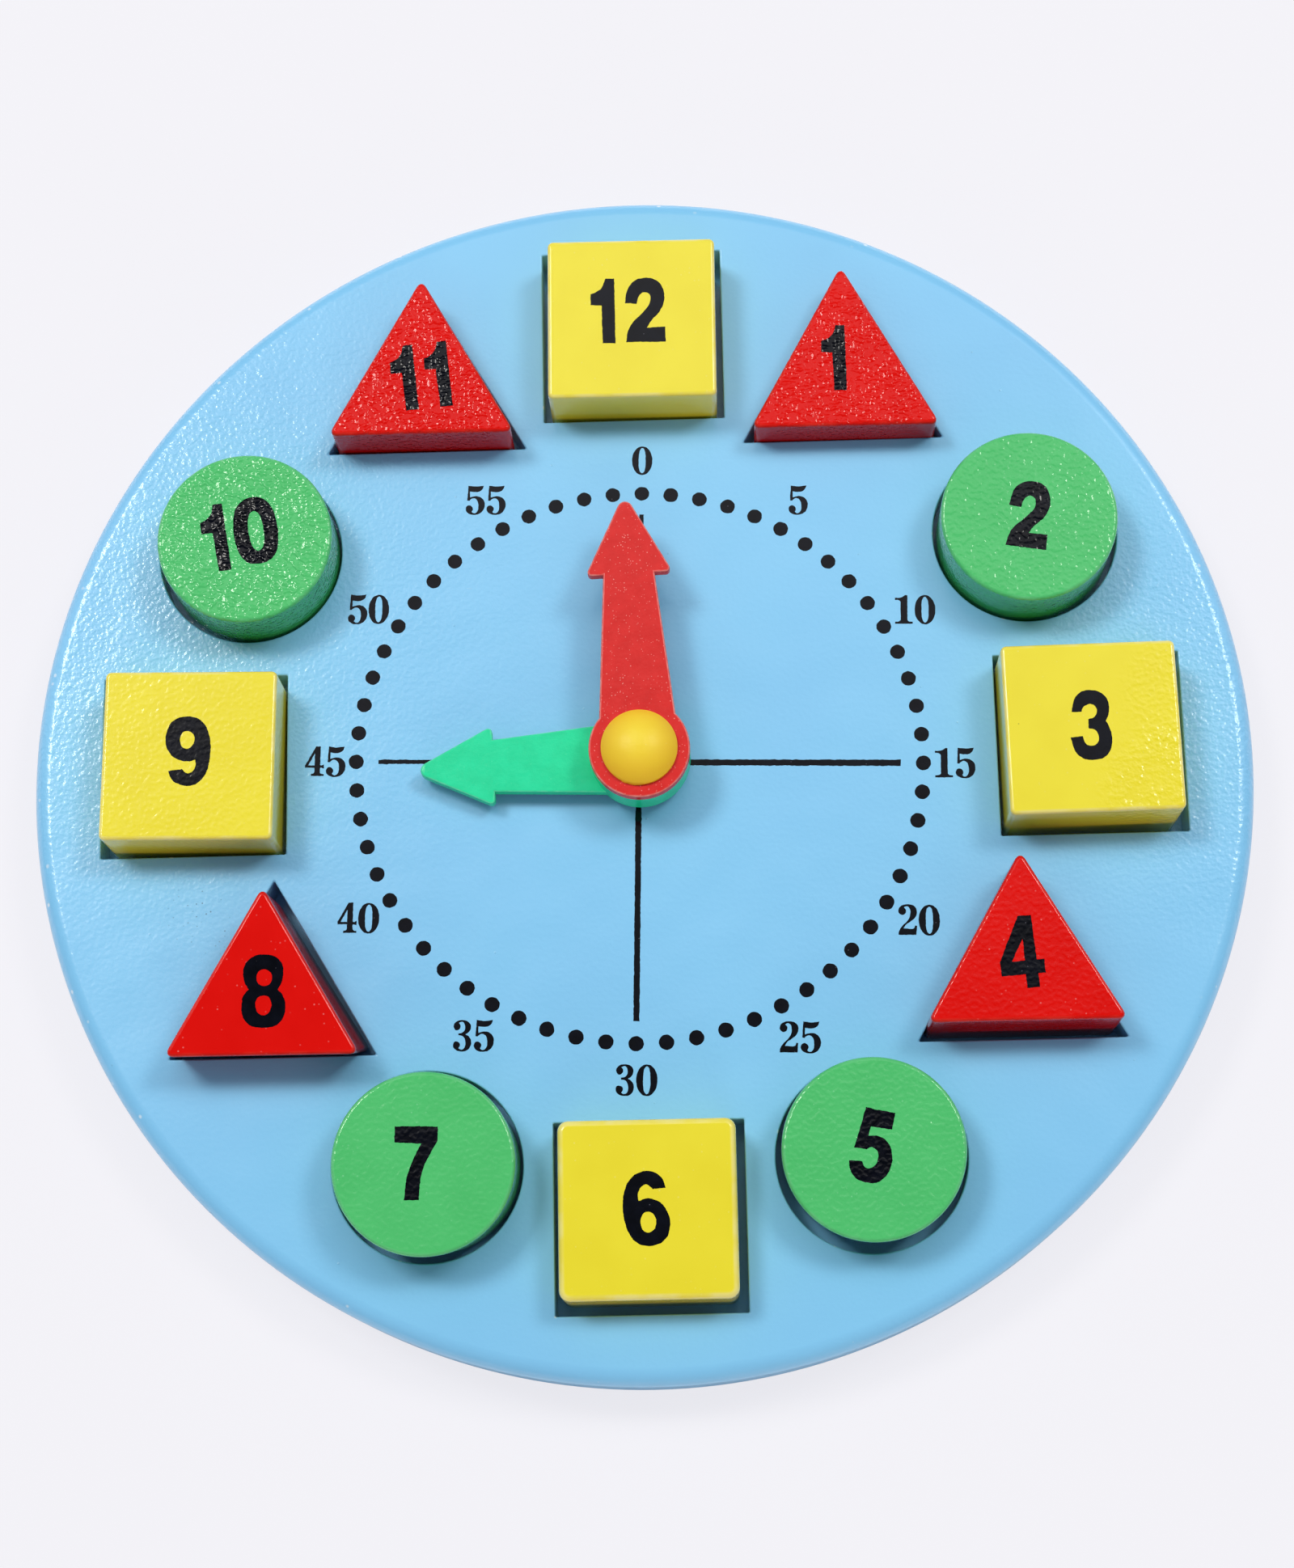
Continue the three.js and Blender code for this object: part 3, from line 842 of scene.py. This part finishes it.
def add_node(material, kind, inputs=(), **settings):
    """Adds a node, sets its settings, and links or sets its inputs, which are named or given in order."""
    made = material.node_tree.nodes.new(kind)
    for setting, value in settings.items():
        setattr(made, setting, value)
    for socket, value in inputs.items() if isinstance(inputs, dict) else enumerate(inputs):
        if isinstance(value, (bpy.types.Node, bpy.types.NodeSocket)):
            link(material, value, made, socket)
        else:
            made.inputs[socket].default_value = value
    return made


def link(material, source, target, *sockets):
    """Links a source to sockets of the target. A node stands for the first of its outputs that is in use."""
    if isinstance(source, bpy.types.Node):
        source = next(output for output in source.outputs if output.enabled)
    for socket in sockets:
        material.node_tree.links.new(source, target.inputs[socket])


def surface(name, roughness, specular=0.5, coat=0, coat_roughness=0.1, metallic=0):
    """A new material with its shader, its output, and the object coordinates that its patterns read."""
    material = bpy.data.materials.new(name)
    material.use_nodes = True
    material.node_tree.nodes.clear()
    values = {
        "Roughness": roughness,
        "Specular IOR Level": specular,
        "Coat Weight": coat,
        "Coat Roughness": coat_roughness,
        "Metallic": metallic,
    }
    shader = add_node(material, "ShaderNodeBsdfPrincipled", values)
    add_node(material, "ShaderNodeOutputMaterial", {"Surface": shader})
    place = add_node(material, "ShaderNodeTexCoord").outputs["Object"]
    return material, shader, place


def clouds(material, place, size, detail=2.0, low=0.35, high=0.65):
    """Soft unevenness from 0 to 1, with patches of about size millimetres."""
    patches = add_node(
        material, "ShaderNodeTexNoise", {"Vector": place, "Scale": 1000 / size, "Detail": detail}
    )
    spread = {"Value": patches.outputs["Fac"], "From Min": low, "From Max": high}
    return add_node(material, "ShaderNodeMapRange", spread, clamp=True)


def flecks(material, place, radius, spacing, share, stretch=1.0, turn=0.0):
    """Scattered specks of a radius and spacing in millimetres, drawn out into scratches by stretch. Each
    is whole up to 0.6 of its radius and gone at 1.25 of it, and only a share of the places has one."""
    lie = {"Vector": place, "Rotation": (0, 0, math.radians(turn)), "Scale": (1 / stretch, 1, 1)}
    laid = add_node(material, "ShaderNodeMapping", lie)
    cells = add_node(material, "ShaderNodeTexVoronoi", {"Vector": laid, "Scale": 1000 / spacing})
    fade = {
        "Value": cells.outputs["Distance"],
        "From Min": radius / spacing * 1.25,
        "From Max": radius / spacing * 0.6,
    }
    near = add_node(material, "ShaderNodeMapRange", fade, clamp=True)
    chance = add_node(material, "ShaderNodeSeparateColor", {"Color": cells.outputs["Color"]})
    chosen = add_node(material, "ShaderNodeMath", [chance, share], operation="LESS_THAN")
    return add_node(material, "ShaderNodeMath", [near, chosen], operation="MULTIPLY")


def facing_up(material):
    """1 on faces that look straight up or down, 0 on upright walls."""
    normal = add_node(material, "ShaderNodeNewGeometry").outputs["Normal"]
    up = add_node(material, "ShaderNodeSeparateXYZ", [normal]).outputs["Z"]
    return add_node(material, "ShaderNodeMath", [up, up], operation="MULTIPLY")


def rounded_edges(material):
    """1 where the surface turns over a rounded edge, 0 on flat faces and upright walls."""
    flat = facing_up(material)
    steep = add_node(material, "ShaderNodeMath", [1.0, flat], operation="SUBTRACT")
    slope = add_node(material, "ShaderNodeMath", [flat, steep], operation="MULTIPLY")
    return add_node(material, "ShaderNodeMath", [slope, 4.0], operation="MULTIPLY")


def near_to(material, place, centre, inner, outer):
    """1 within inner millimetres of a centre, falling to 0 at outer millimetres."""
    spot = tuple(mm(c) for c in centre)
    away = add_node(material, "ShaderNodeVectorMath", [place, spot], operation="DISTANCE")
    fall = {"Value": away.outputs["Value"], "From Min": mm(outer), "From Max": mm(inner)}
    return add_node(material, "ShaderNodeMapRange", fall, interpolation_type="SMOOTHSTEP")


def mottled(material, place, size, main, deep):
    """A colour that drifts between two near tones in patches of about size millimetres."""
    tones = {0: clouds(material, place, size), 6: linear(main), 7: linear(deep)}
    return add_node(material, "ShaderNodeMix", tones, data_type="RGBA")


def laid_over(material, base, where, strength, colour):
    """Lays a colour over what is there, at the given strength where the pattern is 1."""
    share = add_node(material, "ShaderNodeMath", [where, strength], operation="MULTIPLY")
    return add_node(material, "ShaderNodeMix", {0: share, 6: base, 7: linear(colour)}, data_type="RGBA")


def bumps(material, layers):
    """One bump after another. Each layer is a height from 0 to 1, its depth in millimetres, its strength."""
    normal = None
    for height, depth, strength in layers:
        inputs = {"Height": height, "Distance": mm(depth), "Strength": strength}
        if normal is not None:
            inputs["Normal"] = normal
        normal = add_node(material, "ShaderNodeBump", inputs)
    return normal


def board_paint():
    """Satin enamel sprayed on sanded wood sheet: even sky blue with an orange peel that glitters where it
    catches the lamps, most of all along the rounded rim. Light curved scratches, tinted pale as a painted
    glint, and pimples of dust show towards the left and right, and the lips of the seats are chipped white."""
    material, shader, place = surface("satin_enamel_on_board", 0.28, coat=0.4, coat_roughness=0.08)
    left = near_to(material, place, (-102, 48, DIAL_FACE), inner=28, outer=104)
    right = near_to(material, place, (118, 10, DIAL_FACE), inner=15, outer=60)
    right = add_node(material, "ShaderNodeMath", [right, 1.4], operation="MULTIPLY")
    rough = add_node(material, "ShaderNodeMath", [left, right], operation="MAXIMUM")

    bent = add_node(material, "ShaderNodeTexNoise", {"Vector": place, "Scale": 1000 / 14, "Detail": 0.0})
    bend = [bent.outputs["Color"], (mm(5),) * 3, place]
    curved = add_node(material, "ShaderNodeVectorMath", bend, operation="MULTIPLY_ADD")
    scratches_and_glints = [
        flecks(material, curved, radius=0.13, spacing=4.0, share=0.2, stretch=14, turn=62),
        flecks(material, curved, radius=0.13, spacing=5.0, share=0.2, stretch=12, turn=118),
    ]
    scratches_and_glints = add_node(material, "ShaderNodeMath", scratches_and_glints, operation="MAXIMUM")
    scratches_and_glints = add_node(material, "ShaderNodeMath", [scratches_and_glints, rough], operation="MULTIPLY")
    pimples = flecks(material, place, radius=0.2, spacing=6.0, share=0.35)
    smudge = [
        flecks(material, place, radius=0.16, spacing=0.9, share=0.35),
        near_to(material, place, (-84, -28, DIAL_FACE), inner=2, outer=10),
    ]
    smudge = add_node(material, "ShaderNodeMath", smudge, operation="MULTIPLY")
    chips = [rounded_edges(material), flecks(material, place, radius=0.4, spacing=2.6, share=0.3)]
    chips = add_node(material, "ShaderNodeMath", chips, operation="MULTIPLY")

    colour = mottled(material, place, 45, "86cbf6", "88cef8")
    colour = laid_over(material, colour, chips, 0.8, "eef8ff")
    # The scratches' pale tint is a painted glint where the lamps catch them; their bump is real.
    colour = laid_over(material, colour, scratches_and_glints, 0.3, "e4f3fc")
    colour = laid_over(material, colour, pimples, 0.22, "5b8fb8")
    colour = laid_over(material, colour, smudge, 0.75, "3c5670")
    link(material, colour, shader, "Base Color")

    swell = clouds(material, place, 9, detail=0.0, low=0.2, high=0.8)
    peel = clouds(material, place, 0.95, detail=1.5, low=0.3, high=0.75)
    peel_level = add_node(material, "ShaderNodeMath", [rough, 0.75, 0.25], operation="MULTIPLY_ADD")
    peel = add_node(material, "ShaderNodeMath", [peel, peel_level], operation="MULTIPLY")
    layers = [(swell, 0.1, 1.0), (peel, 0.055, 1.0), (pimples, 0.03, 1.0), (scratches_and_glints, 0.03, 1.0)]
    link(material, bumps(material, layers), shader, "Normal", "Coat Normal")
    return material


def lacquer_skin(material, place):
    """Lacquer that dried pebbly at under a millimetre, calm on most blocks and stronger at the spots."""
    pebbly, leathery = 0.03, 0.0
    for where, reach, more, wrinkled in LACQUER_SPOTS:
        x, y = seat_place(where) if where in SEAT_SHARES else where
        here = near_to(material, place, (x, y, BLOCK_TOP), inner=reach * 0.7, outer=reach * 1.2)
        pebbly = add_node(material, "ShaderNodeMath", [here, more, pebbly], operation="MULTIPLY_ADD")
        leathery = add_node(material, "ShaderNodeMath", [here, wrinkled, leathery], operation="MULTIPLY_ADD")
    pebbles = clouds(material, place, 0.9, detail=0.5, low=0.4, high=0.7)
    wrinkles = clouds(material, place, 1.6, detail=2.0, low=0.42, high=0.72)
    height = add_node(material, "ShaderNodeMath", [pebbles, pebbly], operation="MULTIPLY")
    height = add_node(material, "ShaderNodeMath", [wrinkles, leathery, height], operation="MULTIPLY_ADD")
    return bumps(material, [(height, 0.05, 1.0)])


def block_paint(name, main, deep, painted_wall_shade, worn_and_highlit, painted_glint_tone, sheen, gloss):
    """Glossy lacquer brushed over a sanded wooden block: strong colour, with painted shade in a changed tone
    down the walls, pale along the rounded edges where the paint is thin and an edge highlight is painted,
    with pebbly glints, pale specks painted on the tops as glints, and pinholes."""
    material, shader, place = surface(name, 0.2, specular=sheen, coat=gloss, coat_roughness=0.06)
    # Upright walls take the wall tone: painted shade for the light that reaches them.
    base = {0: facing_up(material), 6: linear(painted_wall_shade), 7: mottled(material, place, 11, main, deep)}
    colour = add_node(material, "ShaderNodeMix", base, data_type="RGBA")

    # Paler along the rounded edges: thin paint, and a painted edge highlight.
    held = clouds(material, place, 5, low=0.4, high=0.6)
    held = add_node(material, "ShaderNodeMath", [held, 0.7, 0.3], operation="MULTIPLY_ADD")
    marked = add_node(material, "ShaderNodeAttribute", attribute_name="worn_and_highlit").outputs["Fac"]
    thin_and_highlit = add_node(material, "ShaderNodeMath", [marked, held], operation="MULTIPLY")
    pinholes = flecks(material, place, radius=0.14, spacing=5.5, share=0.22)
    # Pale specks on the tops are painted glints.
    glint_patches = [clouds(material, place, 7), facing_up(material)]
    glint_patches = add_node(material, "ShaderNodeMath", glint_patches, operation="MULTIPLY")
    painted_glints = [flecks(material, place, radius=0.16, spacing=0.9, share=0.22), glint_patches]
    painted_glints = add_node(material, "ShaderNodeMath", painted_glints, operation="MULTIPLY")

    colour = laid_over(material, colour, thin_and_highlit, 0.45, worn_and_highlit)
    colour = laid_over(material, colour, pinholes, 0.5, "4a3a20")
    colour = laid_over(material, colour, painted_glints, 0.45, painted_glint_tone)
    link(material, colour, shader, "Base Color")
    link(material, lacquer_skin(material, place), shader, "Normal", "Coat Normal")
    return material


def printing_ink():
    """Screen ink pressed onto the paint: near black and satin. It follows the pebbles under it, and has
    pin-sized misses."""
    material, shader, place = surface(
        "screen_ink_on_paint", 0.2, specular=0.12, coat=0.4, coat_roughness=0.08
    )
    misses = flecks(material, place, radius=0.1, spacing=1.2, share=0.15)
    colour = mottled(material, place, 2.5, "05070e", "0a0d17")
    colour = laid_over(material, colour, misses, 0.35, "8c8a96")
    link(material, colour, shader, "Base Color")
    link(material, lacquer_skin(material, place), shader, "Normal", "Coat Normal")
    return material


def moulded_plastic(name, main, deep, pale, speck_share, speck_mix):
    """Injection-moulded polypropylene: coloured through and satin, with a thin pale line painted along its
    rounded edges as a highlight, and fine light specks from regrind and dust."""
    material, shader, place = surface(name, 0.27, specular=0.3)
    specks = [
        flecks(material, place, radius=0.11, spacing=0.75, share=speck_share),
        flecks(material, place, radius=0.08, spacing=0.5, share=speck_share),
    ]
    specks = add_node(material, "ShaderNodeMath", specks, operation="MAXIMUM")
    dense = clouds(material, place, 9, detail=1.0)
    dense = add_node(material, "ShaderNodeMath", [dense, 0.7, 0.3], operation="MULTIPLY_ADD")
    specks = add_node(material, "ShaderNodeMath", [specks, dense], operation="MULTIPLY")
    # The pale line along the rounded edges is a painted highlight.
    line = clouds(material, place, 1.5)
    line = add_node(material, "ShaderNodeMath", [line, 0.4, 0.25], operation="MULTIPLY_ADD")
    line = add_node(material, "ShaderNodeMath", [rounded_edges(material), line], operation="MULTIPLY")

    colour = mottled(material, place, 3.0, main, deep)
    colour = laid_over(material, colour, specks, speck_mix, pale)
    colour = add_node(material, "ShaderNodeMix", {0: line, 6: colour, 7: linear(pale)}, data_type="RGBA")
    link(material, colour, shader, "Base Color")
    grain = clouds(material, place, 0.7)
    swell = clouds(material, place, 7)
    link(material, bumps(material, [(grain, 0.02, 0.6), (swell, 0.06, 0.5)]), shader, "Normal")
    return material


def cap_plastic():
    """Moulded cap handled to a soft shine: warm yellow, turned deeper and more orange towards its skirt by
    painted shade and a painted warm reflection of the red hand, with sink marks at its crown that break up
    the highlight."""
    material, shader, place = surface("rubbed_moulded_plastic", 0.42, specular=0.3)
    # Painted shade and a painted reflection of the red hand: deeper and more orange away from the crown.
    lit_crown = near_to(material, place, (0, 1, CAP_CROWN), inner=0, outer=9.5)
    tones = {0: lit_crown, 6: linear("f3be2c"), 7: linear("f7dc40")}
    colour = add_node(material, "ShaderNodeMix", tones, data_type="RGBA")
    colour = laid_over(material, colour, clouds(material, place, 2.5), 0.25, "f6d230")
    specks = flecks(material, place, radius=0.1, spacing=1.3, share=0.12)
    colour = laid_over(material, colour, specks, 0.3, "fff4b0")
    link(material, colour, shader, "Base Color")
    sink = [clouds(material, place, 1.3), near_to(material, place, (0, 0, CAP_CROWN), inner=1.5, outer=5)]
    sink = add_node(material, "ShaderNodeMath", sink, operation="MULTIPLY")
    layers = [(sink, 0.04, 0.8), (clouds(material, place, 5), 0.04, 0.5)]
    link(material, bumps(material, layers), shader, "Normal")
    return material


def zinc_plated_steel():
    """Pressed steel with a thin zinc coat: grey metal, faint turning rings and dull blotches."""
    material, shader, place = surface("zinc_plated_steel", 0.36, metallic=1)
    link(material, mottled(material, place, 1.5, "b4b8bc", "9da1a6"), shader, "Base Color")
    rings = add_node(
        material,
        "ShaderNodeTexWave",
        {"Vector": place, "Scale": 300.0, "Distortion": 1.5},
        wave_type="RINGS",
        rings_direction="Z",
    )
    link(material, bumps(material, [(rings.outputs["Fac"], 0.02, 0.5)]), shader, "Normal")
    return material


def dress(piece, material, body, slot, *nodes):
    piece.data.materials.clear()
    piece.data.materials.append(material)
    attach(piece, body)
    if nodes:
        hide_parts(*nodes)


def table():
    """A pale painted table top that takes the clock's shadow and otherwise shows as bright as the wall."""
    bpy.ops.object.select_all(action="DESELECT")
    bpy.ops.mesh.primitive_plane_add(size=FLOOR_SIDE, location=(0, 0, -mm(FLOOR_GAP)))
    floor = bpy.context.object
    floor.name = "floor"
    place_in_mesh(floor)
    material, shader, place = surface("pale_table", 0.9, specular=0.1)
    link(material, mottled(material, place, 60, "f3f2f7", "f5f4f9"), shader, "Base Color")
    glow = add_node(material, "ShaderNodeEmission", {"Color": linear("f4f3f8"), "Strength": 1.0})
    seen = add_node(material, "ShaderNodeLightPath").outputs["Is Camera Ray"]
    share = add_node(material, "ShaderNodeMath", [seen, FLOOR_GLOW], operation="MULTIPLY")
    output = next(n for n in material.node_tree.nodes if n.type == "OUTPUT_MATERIAL")
    link(material, add_node(material, "ShaderNodeMixShader", [share, shader, glow]), output, "Surface")
    floor.data.materials.append(material)


def room():
    """The room lights the object from all round. In gloss only the side lamps show, and the pale upper
    part of the wall behind the clock, which lays a faint sheen over the dial's upper half."""
    world = bpy.data.worlds.new("studio")
    world.use_nodes = True
    path = add_node(world, "ShaderNodeLightPath")
    seen, mirrored = path.outputs["Is Camera Ray"], path.outputs["Is Glossy Ray"]
    towards = add_node(world, "ShaderNodeTexCoord").outputs["Generated"]
    north = add_node(world, "ShaderNodeSeparateXYZ", [towards]).outputs["Y"]
    rise, fall = (
        add_node(
            world,
            "ShaderNodeMapRange",
            {"Value": north, "From Min": low, "From Max": high},
            interpolation_type="SMOOTHSTEP",
        )
        for low, high in (WALL_RISE, WALL_FALL)
    )
    wall = add_node(world, "ShaderNodeMath", [rise, fall], operation="SUBTRACT")
    wall = [wall, WALL_GLOSS, ROOM_GLOSS - ROOM_LIGHT]
    wall = add_node(world, "ShaderNodeMath", wall, operation="MULTIPLY_ADD")
    level = [seen, 1 - ROOM_LIGHT, ROOM_LIGHT]
    level = add_node(world, "ShaderNodeMath", level, operation="MULTIPLY_ADD")
    level = add_node(world, "ShaderNodeMath", [mirrored, wall, level], operation="MULTIPLY_ADD")
    pale = add_node(world, "ShaderNodeMath", [seen, mirrored], operation="MAXIMUM")
    tones = {0: pale, 6: linear(COOL_LIGHT), 7: linear(BACKDROP)}
    back = world.node_tree.nodes["Background"]
    link(world, add_node(world, "ShaderNodeMix", tones, data_type="RGBA"), back, "Color")
    link(world, level, back, "Strength")
    bpy.context.scene.world = world


def lamps():
    for name, (place, sides, watts, colour) in LAMPS.items():
        data = bpy.data.lights.new(name, "AREA")
        data.shape = "RECTANGLE"
        data.size, data.size_y = sides
        data.energy = watts
        data.color = linear(colour)[:3]
        lamp = bpy.data.objects.new(name, data)
        bpy.context.scene.collection.objects.link(lamp)
        lamp.location = place
        lamp.visible_glossy = name in ("left_box", "right_box")
        lamp.rotation_mode = "QUATERNION"
        lamp.rotation_quaternion = (-lamp.location).to_track_quat("-Z", "Y")


def camera():
    """The photograph's viewpoint, from the fit of the dial print, the seats and the rim."""
    data = bpy.data.cameras.new("camera")
    data.lens = CAMERA_LENS
    data.sensor_width = CAMERA_SENSOR
    data.sensor_fit = "AUTO"
    data.clip_start = 0.01
    eye = bpy.data.objects.new("camera", data)
    bpy.context.scene.collection.objects.link(eye)
    ahead = Vector(CAMERA_AHEAD).normalized()
    up = Vector(CAMERA_RIGHT).cross(ahead).normalized()
    right = ahead.cross(up).normalized()
    turned = Matrix((right, up, -ahead)).transposed().to_4x4()
    eye.matrix_world = Matrix.Translation([mm(c) for c in CAMERA_PLACE]) @ turned
    bpy.context.scene.camera = eye


def build():
    camera()
    table()
    room()
    lamps()

    paint = board_paint()
    dress(dial_board(), paint, "board", "board_paint", "face_board")
    dress(back_board(), paint, "board", "board_paint", "backing_board")

    lacquers = {form: block_paint(**finish) for form, finish in LACQUERS.items()}
    slots = {"square": "yellow_block_paint", "triangle": "red_block_paint", "round": "green_block_paint"}
    ink = printing_ink()
    for hour, (form, *_) in BLOCKS.items():
        body = f"block_{hour}"
        dress(numbered_block(hour), lacquers[form], body, slots[form], f"{form}_block_{hour}")
        dress(block_numeral(hour), ink, body, None)

    for piece in (minute_dots(), cross_lines(), minute_numerals()):
        dress(piece, ink, "board", None)

    green = moulded_plastic("green_polypropylene", "25e0a2", "20d89a", "7ff0c4", 0.12, 0.3)
    red = moulded_plastic("red_polypropylene", "dc2926", "d42320", "f9b8b0", 0.4, 0.75)
    dress(hand("hour_arrow", HOUR_HAND), green, "hour_hand", "green_hand_plastic", "hour_hand")
    dress(hand("minute_arrow", MINUTE_HAND), red, "minute_hand", "red_hand_plastic", "minute_hand")
    dress(capped_pin(), cap_plastic(), "board", "yellow_cap_plastic", "capped_pin")
    dress(washer(), zinc_plated_steel(), "board", "washer_steel", "back_washer")


build()
bpy.context.scene.view_settings.view_transform = "Standard"
